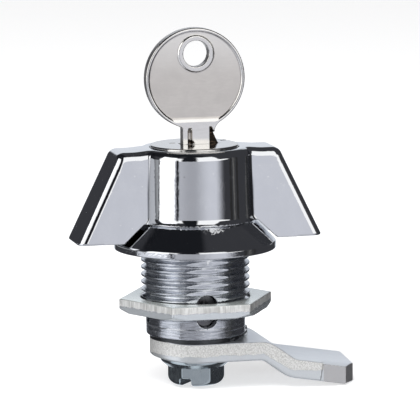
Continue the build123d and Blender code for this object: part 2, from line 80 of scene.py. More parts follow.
lens = bpy.data.cameras.new("studio_camera")
lens.sensor_width = 36.0
lens.lens = 339.71
lens.shift_x = 15.3 / 420
lens.shift_y = 0.269 / 420
lens.clip_start = 0.05
lens.clip_end = 20.0
camera = bpy.data.objects.new("studio_camera", lens)
camera.matrix_world = Matrix((
    (camera_right.x, camera_up.x, towards_camera.x, camera_place.x),
    (camera_right.y, camera_up.y, towards_camera.y, camera_place.y),
    (camera_right.z, camera_up.z, towards_camera.z, camera_place.z),
    (0, 0, 0, 1),
))
scene.collection.objects.link(camera)
scene.camera = camera
scene.view_settings.view_transform = "Standard"


def add(tree, kind, inputs=None, **settings):
    """A shader node with its settings, and its sockets set to values or linked to other sockets."""
    node = tree.nodes.new("ShaderNode" + kind)
    for key, value in settings.items():
        setattr(node, key, value)
    for key, value in (inputs or {}).items():
        if isinstance(value, bpy.types.NodeSocket):
            tree.links.new(value, node.inputs[key])
        else:
            node.inputs[key].default_value = value
    return node


def between(tree, value, low, high, to_low=0.0, to_high=1.0):
    """The value carried smoothly from one range to another and held at its ends."""
    node = add(
        tree,
        "MapRange",
        {"Value": value, "From Min": low, "From Max": high, "To Min": to_low, "To Max": to_high},
        interpolation_type="SMOOTHSTEP",
    )
    return node.outputs["Result"]


def blend(tree, factor, first, second):
    """The first colour where the factor is 0, the second where it is 1."""
    node = add(tree, "Mix", {0: factor, 6: first, 7: second}, data_type="RGBA")
    return node.outputs[2]


def sum_of(tree, operation, first, second):
    """Two values put together by the named operation: a sum, difference, product or the larger one."""
    node = add(tree, "Math", {0: first, 1: second}, operation=operation)
    return node.outputs[0]


world = bpy.data.worlds.new("studio")
scene.world = world
world.use_nodes = True
tree = world.node_tree
tree.nodes.clear()
aim = add(tree, "TexCoord").outputs["Generated"]
height = add(tree, "SeparateXYZ", {0: aim}).outputs["Z"]
to_front = add(tree, "VectorMath", {0: aim, 1: (sin(view_turn), -cos(view_turn), 0)}, operation="DOT_PRODUCT")
to_right = add(tree, "VectorMath", {0: aim, 1: (cos(view_turn), sin(view_turn), 0)}, operation="DOT_PRODUCT")
round_about = sum_of(tree, "ARCTAN2", to_right.outputs["Value"], to_front.outputs["Value"])
bearing = sum_of(tree, "MULTIPLY", round_about, 180 / pi)


def band(tree, low, high, soft=3.0):
    """1 between two bearings in degrees, counted to the right from the front of the studio."""
    return sum_of(
        tree,
        "MULTIPLY",
        between(tree, bearing, low - soft, low + soft),
        between(tree, bearing, high + soft, high - soft),
    )


dark = (0.012, 0.013, 0.016, 1)
white = (1.15, 1.15, 1.15, 1)
drape = (0.045, 0.046, 0.052, 1)

# The table's top, brighter to the right, and the drape beyond it with its folds
table = sum_of(
    tree,
    "ADD",
    between(tree, bearing, -30, -8, 0.53, 0.445),
    between(tree, bearing, -2, 32, 0.0, 0.265),
)
table = sum_of(tree, "ADD", table, between(tree, height, -0.7, -0.1, -0.10, 0.0))
studio = add(tree, "VectorMath", {0: (0.955, 0.975, 1.06), "Scale": table}, operation="SCALE").outputs[0]
table_edge = sum_of(tree, "SUBTRACT", bearing, between(tree, height, -0.30, -0.15, 85, 58))
studio = blend(tree, between(tree, table_edge, -17, 5), studio, drape)

# The white card behind the table, cut lower to its right, and the camera's dark side of the studio
above = between(tree, height, -0.055, -0.01)
studio = blend(tree, above, studio, drape)
card_edge = sum_of(tree, "SUBTRACT", bearing, between(tree, height, -0.01, 0.15, 56, 72))
card_edge = sum_of(tree, "ADD", card_edge, between(tree, height, 0.22, 0.32, 0, 22))
below_top = sum_of(tree, "SUBTRACT", height, between(tree, bearing, -25, 10, 0.58, 0.80))
card = sum_of(tree, "MULTIPLY", between(tree, card_edge, 2, -2), between(tree, below_top, 0.04, -0.04))
studio = blend(tree, sum_of(tree, "MULTIPLY", above, card), studio, white)
shade = sum_of(tree, "MULTIPLY", band(tree, -25, 6, 3.0), between(tree, height, -0.04, -0.02))
studio = blend(tree, shade, studio, dark)
seam = sum_of(tree, "MULTIPLY", band(tree, -36, -31, 1.5), between(tree, height, 0.3, 0.05))
studio = blend(tree, seam, studio, dark)
folds = between(tree, height, 0.3, 0.2)
for first, last, level in ((74, 79, 0.028), (81, 89, 0.060), (83, 85.5, 0.15), (91, 96, 0.026)):
    fold = sum_of(tree, "MULTIPLY", band(tree, first, last, 1.0), folds)
    studio = blend(tree, fold, studio, (level, level, level, 1))

# The soft box to the left, with the grey wall beside it at eye level
box = blend(tree, between(tree, height, -0.125, -0.145), (1.5, 1.5, 1.52, 1), (0.78, 0.81, 0.88, 1))
box = blend(tree, between(tree, height, 0.63, 0.70), box, dark)
wall = sum_of(tree, "MULTIPLY", between(tree, height, 0.06, 0.0), between(tree, height, -0.125, -0.11))
beside = sum_of(tree, "SUBTRACT", bearing, between(tree, height, -0.145, -0.125, -88, -71))
beside = between(tree, beside, 0, -4)
wall_colour = blend(tree, wall, drape, (0.36, 0.37, 0.385, 1))
box = blend(tree, beside, box, wall_colour)
box = blend(tree, sum_of(tree, "MULTIPLY", band(tree, -75, -73, 0.7), wall), box, dark)
studio = blend(tree, between(tree, bearing, -38, -40), studio, box)

# The unlit ceiling, which reaches lower behind the soft box and ends over the drape to the right
ceiling = sum_of(tree, "MULTIPLY", between(tree, height, 0.45, 0.62), between(tree, bearing, -78, -82))
ceiling = sum_of(tree, "MAXIMUM", ceiling, between(tree, height, 0.86, 0.92))
ceiling = sum_of(tree, "MULTIPLY", ceiling, between(tree, bearing, 60, 30))
studio = blend(tree, ceiling, studio, dark)

# Behind the lock a white sheet hangs between dark walls
studio = blend(tree, between(tree, bearing, -144, -149), studio, drape)
to_back = add(tree, "Math", {0: bearing}, operation="ABSOLUTE").outputs[0]
sheet_level = between(tree, height, 0.28, 0.5, 0.80, 0.05)
back_sheet = add(tree, "VectorMath", {0: (0.93, 0.975, 1.05), "Scale": sheet_level}, operation="SCALE")
studio = blend(tree, between(tree, to_back, 158, 163), studio, back_sheet.outputs[0])
rays = add(tree, "LightPath")
seen = blend(tree, rays.outputs["Is Camera Ray"], studio, (1, 1, 1, 1))
sky = add(tree, "Background", {"Color": seen, "Strength": 1.0})
tree.links.new(sky.outputs[0], add(tree, "OutputWorld").inputs[0])

floor_mesh = bpy.data.meshes.new("floor")
floor_z = cad_box[0][2] - 0.00005
floor_mesh.from_pydata(
    [(-3, -3, floor_z), (3, -3, floor_z), (3, 3, floor_z), (-3, 3, floor_z)], [], [(0, 1, 2, 3)]
)
floor = bpy.data.objects.new("floor", floor_mesh)
floor.visible_glossy = False
scene.collection.objects.link(floor)
paper = bpy.data.materials.new("white_paper")
paper.use_nodes = True
tree = paper.node_tree
tree.nodes.clear()
rays = add(tree, "LightPath")
seen = sum_of(tree, "MAXIMUM", rays.outputs["Is Camera Ray"], rays.outputs["Is Glossy Ray"])
glow = add(tree, "Emission", {"Color": (1, 1, 1, 1), "Strength": 0.62})
mottle = add(tree, "TexNoise", {"Scale": 30.0, "Detail": 2.0})
sheet_colour = blend(tree, mottle.outputs[0], (0.70, 0.70, 0.70, 1), (0.72, 0.72, 0.72, 1))
sheet = add(tree, "BsdfDiffuse", {"Color": sheet_colour})
lit = add(tree, "AddShader", {0: glow.outputs[0], 1: sheet.outputs[0]})
shown = add(tree, "MixShader", {0: seen, 1: sheet.outputs[0], 2: lit.outputs[0]})
tree.links.new(shown.outputs[0], add(tree, "OutputMaterial").inputs[0])
floor_mesh.materials.append(paper)

lamp = bpy.data.lights.new("soft_box", "AREA")
lamp.shape = "RECTANGLE"
lamp.size = 0.6
lamp.size_y = 0.6
lamp.energy = 12.0
soft_box = bpy.data.objects.new("soft_box", lamp)
soft_box.location = (-0.35, -0.45, 0.75)
soft_box.rotation_euler = (Vector((0, 0, 0)) - soft_box.location).to_track_quat("-Z", "Y").to_euler()
soft_box.visible_glossy = False
scene.collection.objects.link(soft_box)

# ------------------------------------------------------------------ housing
# One zinc die-casting: a low conical flange polished and chromed, and below it a duller barrel with an
# M22 x 1.5 thread, two flats, four bolt slots and a cut-out in its end for the stop washer's tab.


def rounded(first, second, radius, apart=90.0):
    """Where two shapes overlap, the edge between their faces rolled; apart is the angle between normals."""
    lean = cos(radians(apart))
    p, q = first + radius, second + radius
    reach = np.sqrt(np.maximum(p * p + q * q - 2 * lean * p * q, 0)) / sin(radians(apart))
    return np.where((p > lean * q) & (q > lean * p), reach - radius, np.maximum(first, second))


def hollowed(first, second, radius, apart=90.0):
    """Two shapes joined, with a hollow fillet between them."""
    return -rounded(-first, -second, radius, apart)


def cast(name, form, low, high, step, keep):
    """A closed smooth mesh where the form, in millimetres, is zero, thinned to a share of its faces."""
    axes = [np.arange(low[i] - 2 * step[i], high[i] + 2.5 * step[i], step[i]) for i in range(3)]
    grid = np.meshgrid(*[a.astype(np.float32) for a in axes], indexing="ij", sparse=True)
    values = np.broadcast_to(form(*grid), [len(a) for a in axes])
    inside = values < 0
    count = inside[:-1, :-1, :-1].astype(np.int8)
    corners = [(i, j, k) for i in (0, 1) for j in (0, 1) for k in (0, 1)]
    shape = [len(a) - 1 for a in axes]

    def corner(array, c):
        return array[c[0]:c[0] + shape[0], c[1]:c[1] + shape[1], c[2]:c[2] + shape[2]]

    for c in corners[1:]:
        count = count + corner(inside, c)
    cells = np.argwhere((count > 0) & (count < 8))
    number = -np.ones(shape, dtype=np.int32)
    number[tuple(cells.T)] = np.arange(len(cells))
    total = np.zeros((len(cells), 3))
    weight = np.zeros(len(cells))
    for a in corners:
        for axis in range(3):
            if a[axis]:
                continue
            b = list(a)
            b[axis] = 1
            first = values[tuple((cells + a).T)]
            second = values[tuple((cells + b).T)]
            crossed = (first < 0) != (second < 0)
            share = np.where(crossed, first / np.where(crossed, first - second, 1), 0)
            place = np.repeat(np.array([a], dtype=float), len(cells), axis=0)
            place[:, axis] = share
            total += place * crossed[:, None]
            weight += crossed
    points = np.stack([axes[i][0] + (cells[:, i] + total[:, i] / weight) * step[i] for i in range(3)], axis=1)

    faces = []
    for axis in range(3):
        u, v = [(1, 2), (2, 0), (0, 1)][axis]
        ahead = [slice(None)] * 3
        ahead[axis] = slice(1, None)
        back = [slice(None)] * 3
        back[axis] = slice(None, -1)
        crossing = np.argwhere(inside[tuple(back)] != inside[tuple(ahead)])
        crossing = crossing[(crossing[:, u] > 0) & (crossing[:, v] > 0)]
        crossing = crossing[(crossing[:, u] < shape[u]) & (crossing[:, v] < shape[v])]
        ring = []
        for du, dv in ((-1, -1), (0, -1), (0, 0), (-1, 0)):
            cell = crossing.copy()
            cell[:, u] += du
            cell[:, v] += dv
            ring.append(number[tuple(cell.T)])
        ring = np.stack(ring, axis=1)
        outward = inside[tuple(back)][tuple(crossing.T)]
        ring[~outward] = ring[~outward][:, ::-1]
        faces.append(ring)
    faces = np.concatenate(faces)

    def slope(at, reach):
        parts = []
        for axis in range(3):
            shift = np.zeros(3)
            shift[axis] = reach
            ahead, back = at + shift, at - shift
            parts.append((form(*ahead.T) - form(*back.T)) / (2 * reach))
        return np.stack(parts, axis=1)

    def settle(at, times):
        for _ in range(times):
            rise = slope(at, 0.004)
            steep = np.maximum((rise * rise).sum(axis=1), 0.25)
            move = rise * (form(*at.T) / steep)[:, None]
            length = np.maximum(np.linalg.norm(move, axis=1), 1e-9)
            at = at - move * np.minimum(1, 0.5 * min(step) / length)[:, None]
        return at

    points = settle(points, 4)
    mesh = bpy.data.meshes.new(name)
    mesh.from_pydata(points.tolist(), [], faces.tolist())
    if keep < 1:
        rough = bpy.data.objects.new(name, mesh)
        scene.collection.objects.link(rough)
        thin = rough.modifiers.new("thin", "DECIMATE")
        thin.ratio = keep
        fine = bpy.data.meshes.new_from_object(rough.evaluated_get(bpy.context.evaluated_depsgraph_get()))
        bpy.data.objects.remove(rough)
        bpy.data.meshes.remove(mesh)
        mesh = fine
        mesh.name = name
        points = np.zeros(3 * len(mesh.vertices))
        mesh.vertices.foreach_get("co", points)
        points = settle(points.reshape(-1, 3), 2)
    normals = slope(points, 0.02)
    normals /= np.maximum(np.linalg.norm(normals, axis=1), 1e-9)[:, None]
    mesh.vertices.foreach_set("co", (points * 0.001).ravel())
    mesh.update()
    mesh.shade_smooth()
    mesh.normals_split_custom_set_from_vertices(normals.tolist())
    piece = bpy.data.objects.new(name, mesh)
    scene.collection.objects.link(piece)
    return piece


def finish(name, roughness, metallic=1.0):
    """A new material with its shader, and the place on the piece in millimetres."""
    material = bpy.data.materials.new(name)
    material.use_nodes = True
    tree = material.node_tree
    tree.nodes.clear()
    shader = add(tree, "BsdfPrincipled", {"Metallic": metallic, "Roughness": roughness})
    tree.links.new(shader.outputs[0], add(tree, "OutputMaterial").inputs[0])
    place = add(tree, "TexCoord").outputs["Object"]
    place = add(tree, "VectorMath", {0: place, "Scale": 1000.0}, operation="SCALE").outputs[0]
    return material, tree, shader, place


def grain(tree, place, size, detail=2.0, stretch=(1, 1, 1)):
    """Irregular patches of a size in millimetres, from 0 to 1."""
    spread = add(tree, "VectorMath", {0: place, 1: stretch}, operation="MULTIPLY").outputs[0]
    noise = add(tree, "TexNoise", {"Vector": spread, "Scale": 1 / size, "Detail": detail})
    return noise.outputs[0]


def relief(tree, shader, height, depth):
    """The height pressed into the surface, to a depth in millimetres."""
    bump = add(tree, "Bump", {"Height": height, "Distance": depth * 0.001, "Strength": 1.0})
    tree.links.new(bump.outputs[0], shader.inputs["Normal"])


def use(piece, material, body, node):
    """The piece stands for a node of the frame, moves with its body and takes its finish."""
    piece.data.materials.append(material)
    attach(piece, body)
    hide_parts(node)


housing_low, housing_high = [[1000 * c for c in corner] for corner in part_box("housing")]
flange_r = housing_high[0]
flange_top = housing_high[2]
barrel_end = housing_low[2]
rim_height = 1.4
thread_r = 11.0
thread_depth = 1.12
thread_pitch = 1.5
thread_end = -12.6
shank_r = 10.05
flat_half = 10.12
shank_rings = (-15.2, -15.95)
barrel_bore = 8.0
slot_centre = -11.65
slot_half_width = 2.15
slot_half_run = 1.2
cutout_top = -16.2
cutout_angles = (-10.0, 100.0)


def screw_thread(x, y, z, crest_r, depth):
    """A right-handed thread's surface, crests and roots both a little flattened."""
    turn = np.arctan2(y, x) / (2 * pi)
    along = (z / thread_pitch - turn) % 1.0
    ridge = np.abs(along - 0.5) * 2
    rise = np.clip((ridge - 0.12) / 0.70, 0, 1)
    rise = rise * rise * (3 - 2 * rise) * 0.25 + rise * 0.75
    return (np.hypot(x, y) - (crest_r - depth + depth * rise)) * 0.72


def stadium(u, z):
    """A bolt slot seen from its front, round at both ends."""
    return np.hypot(u, np.maximum(np.abs(z - slot_centre) - slot_half_run, 0)) - slot_half_width


def housing_form(x, y, z):
    out = np.hypot(x, y)
    cone = (out + z - flange_r - rim_height) / sqrt(2)
    flange = rounded(rounded(out - flange_r, cone, 0.6, 45.0), -z, 0.25)
    flange = rounded(flange, z - flange_top, 0.15, 45.0)
    thread = screw_thread(x, y, z, thread_r, thread_depth)
    thread = rounded(thread, np.abs(y) - flat_half, 0.06)
    run_out = (out - thread_r - 0.15 - (z - thread_end)) / sqrt(2)
    thread = rounded(thread, run_out, 0.08, 50.0)
    thread = np.maximum(thread, z - 0.3)
    ring = np.minimum(*[np.abs(z - at) for at in shank_rings])
    shank = rounded(out - shank_r + 0.05 * np.clip(1 - ring / 0.1, 0, 1), barrel_end - z, 0.35)
    shank = np.maximum(shank, z - 0.3)
    body = np.minimum(flange, hollowed(thread, shank, 0.1))
    body = rounded(body, barrel_bore - out, 0.15)
    slots = np.minimum(stadium(y, z), stadium(x, z))
    body = rounded(body, -slots, 0.12)
    first, last = [radians(a) for a in cutout_angles]
    wedge = np.maximum(x * sin(first) - y * cos(first), y * cos(last) - x * sin(last))
    return rounded(body, -np.maximum(z - cutout_top, wedge), 0.06)


housing = cast("housing_casting", housing_form, housing_low, housing_high, (0.2, 0.2, 0.14), 0.35)

housing_finish, tree, shader, place = finish("housing_chrome", 0.1)
height_at = add(tree, "SeparateXYZ", {0: place}).outputs["Z"]
below = between(tree, height_at, 0.02, -0.02)
patches = grain(tree, place, 2.5, 3.0)
polished = blend(tree, patches, (0.74, 0.75, 0.77, 1), (0.80, 0.81, 0.83, 1))
turned = grain(tree, place, 0.3, 4.0, (0.12, 0.12, 1))
dull = blend(tree, between(tree, turned, 0.3, 0.7), (0.50, 0.52, 0.55, 1), (0.76, 0.78, 0.82, 1))
# Painted highlight: a soft spot at the front of the cone's top, just under the hub, where the chrome turns
# partly to a pale non-metal so that it shows up light.
painted_highlight_spot = add(tree, "VectorMath", {0: place, 1: (0.9, -12.4, 5.2)}, operation="SUBTRACT").outputs[0]
painted_highlight_spot = add(tree, "VectorMath", {0: painted_highlight_spot, 1: (0.55, 0.9, 1.3)}, operation="MULTIPLY").outputs[0]
painted_highlight_spot = add(tree, "VectorMath", {0: painted_highlight_spot}, operation="LENGTH").outputs["Value"]
painted_highlight_spot = sum_of(tree, "ADD", painted_highlight_spot, between(tree, grain(tree, place, 0.6, 5.0), 0.3, 0.7, -0.5, 0.5))
painted_highlight_spot = between(tree, painted_highlight_spot, 1.1, 0.4, 0.0, 0.6)
tree.links.new(blend(tree, below, polished, dull), shader.inputs["Base Color"])
tree.links.new(between(tree, painted_highlight_spot, 0, 1, 1.0, 0.2), shader.inputs["Metallic"])
gloss = sum_of(tree, "MULTIPLY", below, between(tree, patches, 0.3, 0.7, 0.13, 0.20))
gloss = sum_of(tree, "ADD", gloss, between(tree, patches, 0.3, 0.7, 0.04, 0.08))
tree.links.new(gloss, shader.inputs["Roughness"])
rim_rough = sum_of(tree, "MULTIPLY", between(tree, height_at, 1.9, 1.3), grain(tree, place, 0.7, 4.0))
skin = sum_of(tree, "ADD", sum_of(tree, "MULTIPLY", rim_rough, 2.2), sum_of(tree, "MULTIPLY", patches, 0.5))
relief(tree, shader, skin, 0.012)
use(housing, housing_finish, "housing", "housing")

# ------------------------------------------------------------------ panel nut
# A thin hexagon nut stamped from steel bar and zinc plated.  The blanking press leaves a burnished band
# round its lower edge and a rough broken band above it.  Its bore is plain and clears the barrel's thread.
nut_low, nut_high = [[1000 * c for c in corner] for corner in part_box("panel_nut")]
nut_half = nut_high[1]
nut_bottom, nut_top = nut_low[2], nut_high[2]
nut_face_r = 14.5
nut_slope = 30.0


def hexagon(x, y, half, turn, radius):
    """Six flats at a distance from the axis, with its corners rounded."""
    sides = []
    for i in range(3):
        a = radians(turn + 60 * i)
        sides.append(np.abs(x * cos(a) + y * sin(a)) - half)
    return rounded(rounded(sides[0], sides[1], radius, 60.0), sides[2], radius, 60.0)


def nut_form(x, y, z):
    out = np.hypot(x, y)
    body = hexagon(x, y, nut_half, 90.0, 0.5)
    body = rounded(body, z - nut_top, 0.25)
    tilt = radians(nut_slope)
    chamfer = (out - nut_face_r) * sin(tilt) - (z - nut_bottom) * cos(tilt)
    body = rounded(body, chamfer, 0.2, 60.0)
    body = rounded(body, nut_bottom - z, 0.3, 30.0)
    bore = thread_r + 0.08 - out
    mouth = (thread_r + 0.3 - out - np.minimum(z - nut_bottom, nut_top - z)) / sqrt(2)
    return rounded(body, np.maximum(bore, mouth), 0.06)


nut = cast("nut_stamping", nut_form, nut_low, nut_high, (0.2, 0.2, 0.14), 0.35)

nut_finish, tree, shader, place = finish("nut_zinc", 0.3, 0.7)
at = add(tree, "SeparateXYZ", {0: place})
up = add(tree, "SeparateXYZ", {0: add(tree, "NewGeometry").outputs["Normal"]}).outputs["Z"]
streaks = grain(tree, place, 0.5, 4.0, (1, 1, 0.12))
ragged = grain(tree, place, 1.2, 3.0, (1, 1, 0.3))
edge_height = sum_of(tree, "ADD", at.outputs["Z"], between(tree, ragged, 0.3, 0.7, -0.12, 0.12))
broken = between(tree, edge_height, nut_bottom + 1.30, nut_bottom + 1.45)
side = between(tree, up, 0.6, 0.4)
broken = sum_of(tree, "MULTIPLY", broken, side)
clean = blend(tree, streaks, (0.60, 0.64, 0.67, 1), (0.70, 0.73, 0.75, 1))
torn = blend(tree, between(tree, streaks, 0.3, 0.7), (0.62, 0.62, 0.60, 1), (0.98, 0.98, 0.96, 1))
flat = blend(tree, grain(tree, place, 1.5), (0.82, 0.87, 0.84, 1), (0.92, 0.96, 0.93, 1))
skin = blend(tree, broken, clean, torn)
tree.links.new(blend(tree, side, flat, skin), shader.inputs["Base Color"])
tree.links.new(between(tree, broken, 0.0, 1.0, 0.22, 0.5), shader.inputs["Roughness"])
ripple = sum_of(tree, "MULTIPLY", broken, streaks)
relief(tree, shader, sum_of(tree, "ADD", ripple, between(tree, streaks, 0, 1, 0, 0.15)), 0.05)
use(nut, nut_finish, "panel_nut", "panel_nut")

# ------------------------------------------------------------------ wing handle
# One zinc die-casting, polished and chromed: a drafted hub with two wings, rolled at every edge, and the
# long neck that turns in the barrel.  Small casting pits show through the plating.
handle_low, handle_high = [[1000 * c for c in corner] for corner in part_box("wing_handle")]
wing_top = handle_high[2] + 0.15
crown_rise = 0.3
crown_start = 14.0
crown_run = 4.4
hub_bottom = 5.9
hub_top_r = 11.55
hub_flare = 0.65
flare_top = 7.25
flare_height = 1.35
wing_bottom = 2.1
wing_top_half = 16.6
wing_foot_half = 25.4
wing_half_thickness = 5.1
draft = tan(radians(1.9))
wing_corner = 2.1
wing_foot = 0.4
wing_sole = 0.2
wing_edge = 1.5
wing_end_edge = 1.9
wing_root = 0.6
clear_r = 12.9
plug_head_r = 8.915
plug_head_floor = 18.2
plug_r = 6.0
plug_bore_end = -1.1
spindle_bore_r = 3.0
neck_r = 7.95
neck_end = -17.5
square_half = 4.0
square_end = -21.7
bolt_half = 3.2
bolt_top = -8.475
bolt_bottom = -14.825
bolt_back = 3.86


def handle_form(x, y, z):
    out = np.hypot(x, y)
    fall = (wing_top - z) * draft
    flare = hub_flare * np.clip((flare_top - z) / flare_height, 0, 1) ** 2
    hub = out - hub_top_r - fall - flare
    plan = hollowed(hub, np.abs(y) - wing_half_thickness - fall, wing_root, 63.0)
    lean = (wing_foot_half - wing_top_half) / (wing_top - wing_bottom)
    end = (np.abs(x) - wing_top_half - lean * (wing_top - z)) / sqrt(1 + lean * lean)
    crown = np.clip((crown_start - out) / crown_run, 0, 1)
    crown = wing_top + crown_rise * crown * crown * (3 - 2 * crown)
    front = rounded(end, z - crown, wing_corner, 63.7)
    at_end = np.clip((end - z + wing_top) / 4 + 0.5, 0, 1)
    wings = rounded(plan, front, wing_edge + (wing_end_edge - wing_edge) * at_end)
    wings = rounded(wings, wing_bottom - z, np.where(np.abs(x) > 20, wing_foot, wing_sole), 100.0)
    clear = np.where(out < clear_r, hub_bottom - z, (clear_r + hub_bottom - out - z) / sqrt(2))
    wings = rounded(wings, clear, 0.2)
    neck = np.maximum(rounded(out - neck_r, neck_end - z, 0.2), z - hub_bottom - 1)
    square = rounded(np.abs(x) - square_half, np.abs(y) - square_half, 0.3)
    square = np.maximum(rounded(square, square_end - z, 0.15), z - neck_end - 1)
    body = np.minimum(np.minimum(wings, neck), square)
    recess = rounded(out - plug_head_r - 0.1, plug_head_floor - z, 0.1)
    body = rounded(body, -recess, 0.18)
    body = np.maximum(body, -np.maximum(out - plug_r - 0.05, plug_bore_end - z))
    body = np.maximum(body, -np.maximum(out - spindle_bore_r, bolt_top - z))
    channel = np.maximum(np.abs(x) - bolt_half - 0.1, y - bolt_back - 0.3)
    channel = np.maximum(channel, np.maximum(z - bolt_top - 0.1, bolt_bottom - 0.1 - z))
    return rounded(body, -channel, 0.05)


handle = cast("handle_casting", handle_form, handle_low, handle_high, (0.26, 0.26, 0.26), 0.35)

handle_finish, tree, shader, place = finish("handle_chrome", 0.06)
patches = grain(tree, place, 3.0, 3.0)
plating = blend(tree, patches, (0.76, 0.77, 0.79, 1), (0.82, 0.83, 0.85, 1))
at = add(tree, "SeparateXYZ", {0: place})
from_middle = add(tree, "Math", {0: at.outputs["X"]}, operation="ABSOLUTE").outputs[0]
in_front = add(tree, "Math", {0: at.outputs["Y"]}, operation="ABSOLUTE").outputs[0]
# Painted shade: the plating's colour is darkened in the inner corners where the wings meet the hub, dimming
# their reflections there.
root_shade_inner = between(tree, from_middle, 9.3, 9.8)
root_shade_outer = between(tree, from_middle, 11.2, 10.7)
root_shade_front = between(tree, in_front, wing_half_thickness + 0.15, wing_half_thickness + 0.3)
corner = sum_of(tree, "MULTIPLY", root_shade_inner, root_shade_outer)
corner = sum_of(tree, "MULTIPLY", corner, root_shade_front)
tree.links.new(blend(tree, corner, plating, (0.32, 0.33, 0.35, 1)), shader.inputs["Base Color"])
tree.links.new(between(tree, patches, 0.3, 0.7, 0.04, 0.08), shader.inputs["Roughness"])
pit_field = add(tree, "TexVoronoi", {"Vector": place, "Scale": 0.55}, feature="F1").outputs["Distance"]
pits = between(tree, pit_field, 0.0, 0.09, 0.0, 1.5)
swell = grain(tree, place, 2.4, 2.0)
peel_share = between(tree, patches, 0.45, 0.62, 0.2, 1.2)
orange_peel = sum_of(tree, "MULTIPLY", grain(tree, place, 0.45, 3.0), peel_share)
skin = sum_of(tree, "ADD", sum_of(tree, "ADD", swell, orange_peel), pits)
relief(tree, shader, skin, 0.009)
use(handle, handle_finish, "handle", "wing_handle")

# ------------------------------------------------------------------ lock plug
# A turned and polished brass plug, nickel plated: a wide flat head with the keyway, and a body slotted for
# the wafers, whose spindle carries the drive pin.
plug_low, plug_high = [[1000 * c for c in corner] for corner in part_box("lock_plug")]
head_top = plug_high[2] + 0.3
head_bottom = 18.3
plug_bottom = -1.0
spindle_r = 2.9
spindle_end = plug_low[2]
wafer_heights = (15.4, 13.0, 10.6, 8.2, 5.8)
wafer_slot_half = 0.65
keyway_floor = 1.5
pin_offset = 1.0607
pin_r = 1.0
pin_top = -4.975
nick_place = (7.2, 3.6)
nick_lean = (0.91, 0.41)


def slab(u, low, high):
    """The layer between two places along one direction."""
    return np.maximum(low - u, u - high)


def keyway(x, y, z):
    wide = np.maximum(slab(x, -2.85, 3.1), slab(y, -1.3, 1.3))
    thin = np.maximum(slab(x, 2.9, 5.1), slab(y, -0.1, 1.3))
    rib = np.maximum(slab(x, -1.35, -0.85), slab(y, -2.0, -0.8))
    lead_in = np.maximum(slab(x, -1.9, -0.2), slab(y, -1.62, 0))
    lead_in = np.minimum(lead_in, np.maximum(slab(x, 3.0, 5.1), slab(y, -0.6, 0)))
    way = np.maximum(np.minimum(wide, thin), -rib)
    return np.minimum(way, np.maximum(lead_in, head_top - 1.2 - z))


def plug_form(x, y, z):
    out = np.hypot(x, y)
    head = rounded(out - plug_head_r, z - head_top, 0.3)
    head = rounded(head, head_bottom - z, 0.1)
    body = np.maximum(rounded(out - plug_r, plug_bottom - z, 0.1), z - head_bottom - 0.5)
    spindle = np.maximum(rounded(out - spindle_r, spindle_end - z, 0.1), z - plug_bottom - 0.5)
    form = np.minimum(np.minimum(head, body), spindle)
    form = rounded(form, -np.maximum(keyway(x, y, z), keyway_floor - z), 0.06)
    for height in wafer_heights:
        slot = np.maximum(slab(y, -2.6, 2.6), slab(z, height - wafer_slot_half, height + wafer_slot_half))
        ear = np.maximum(slab(x, -1.3, 2.3), slab(y, 0, 3.9))
        ear = np.maximum(ear, slab(z, height - wafer_slot_half, height + wafer_slot_half))
        form = np.maximum(form, -np.minimum(slot, ear))
    retainer = np.maximum(np.maximum(slab(x, -7, 0), slab(y, -1.6, 1.6)), slab(z, -0.25, 0.85))
    form = np.maximum(form, -retainer)
    bored = np.maximum(np.hypot(x + pin_offset, y - pin_offset) - pin_r, z - pin_top)
    form = np.maximum(form, -bored)
    dent = np.maximum(np.hypot(np.maximum(np.abs(x + 4.1) - 0.3, 0), y - 2.0) - 0.2, head_top - 0.3 - z)
    right, back = x - nick_place[0], y - nick_place[1]
    along = np.abs(right * nick_lean[0] + back * nick_lean[1])
    beside = back * nick_lean[0] - right * nick_lean[1]
    nick = np.maximum(np.hypot(np.maximum(along - 0.8, 0), beside) - 0.2, head_top - 0.4 - z)
    return np.maximum(form, -np.minimum(dent, nick))


plug = cast("plug_turning", plug_form, plug_low, plug_high, (0.2, 0.2, 0.2), 0.35)

plug_finish, tree, shader, place = finish("plug_nickel", 0.12)
rubbed = grain(tree, place, 0.8, 4.0, (0.25, 1, 1))
tree.links.new(
    blend(tree, rubbed, (0.70, 0.685, 0.66, 1), (0.80, 0.785, 0.76, 1)), shader.inputs["Base Color"]
)
tree.links.new(between(tree, rubbed, 0.25, 0.75, 0.09, 0.17), shader.inputs["Roughness"])
relief(tree, shader, rubbed, 0.0015)
use(plug, plug_finish, "plug", "lock_plug")

# ------------------------------------------------------------------ key
# A blanked brass key, satin nickel plated: a round bow with coined faces and a collar round its hole, and
# a blade milled thin along one side, whose edge is cut in steps for the wafers.
key_low, key_high = [[1000 * c for c in corner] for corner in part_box("key")]
bow_centre = (0.15, 34.4)
bow_r = 10.2
key_half = key_high[1]
web_half = 0.95
rim_width = 0.4
rim_wall = 0.5
bow_chord = 25.6
chord_wall = 1.0
collar_wall = 0.4
hole_centre = (0.3, 39.4)
hole_r = 2.65
collar_r = 3.45
blade_left = -2.6
blade_right = 5.0
neck_right = 4.0
shoulder_foot = 21.0
shoulder_steep = 2.1875
blade_tip = key_low[2]
cut_edges = (4.65, 4.35, 4.05, 3.75, 3.45)
mill_from = 3.0
mill_top = 24.5
groove_left = 1.1
groove_half = 0.42


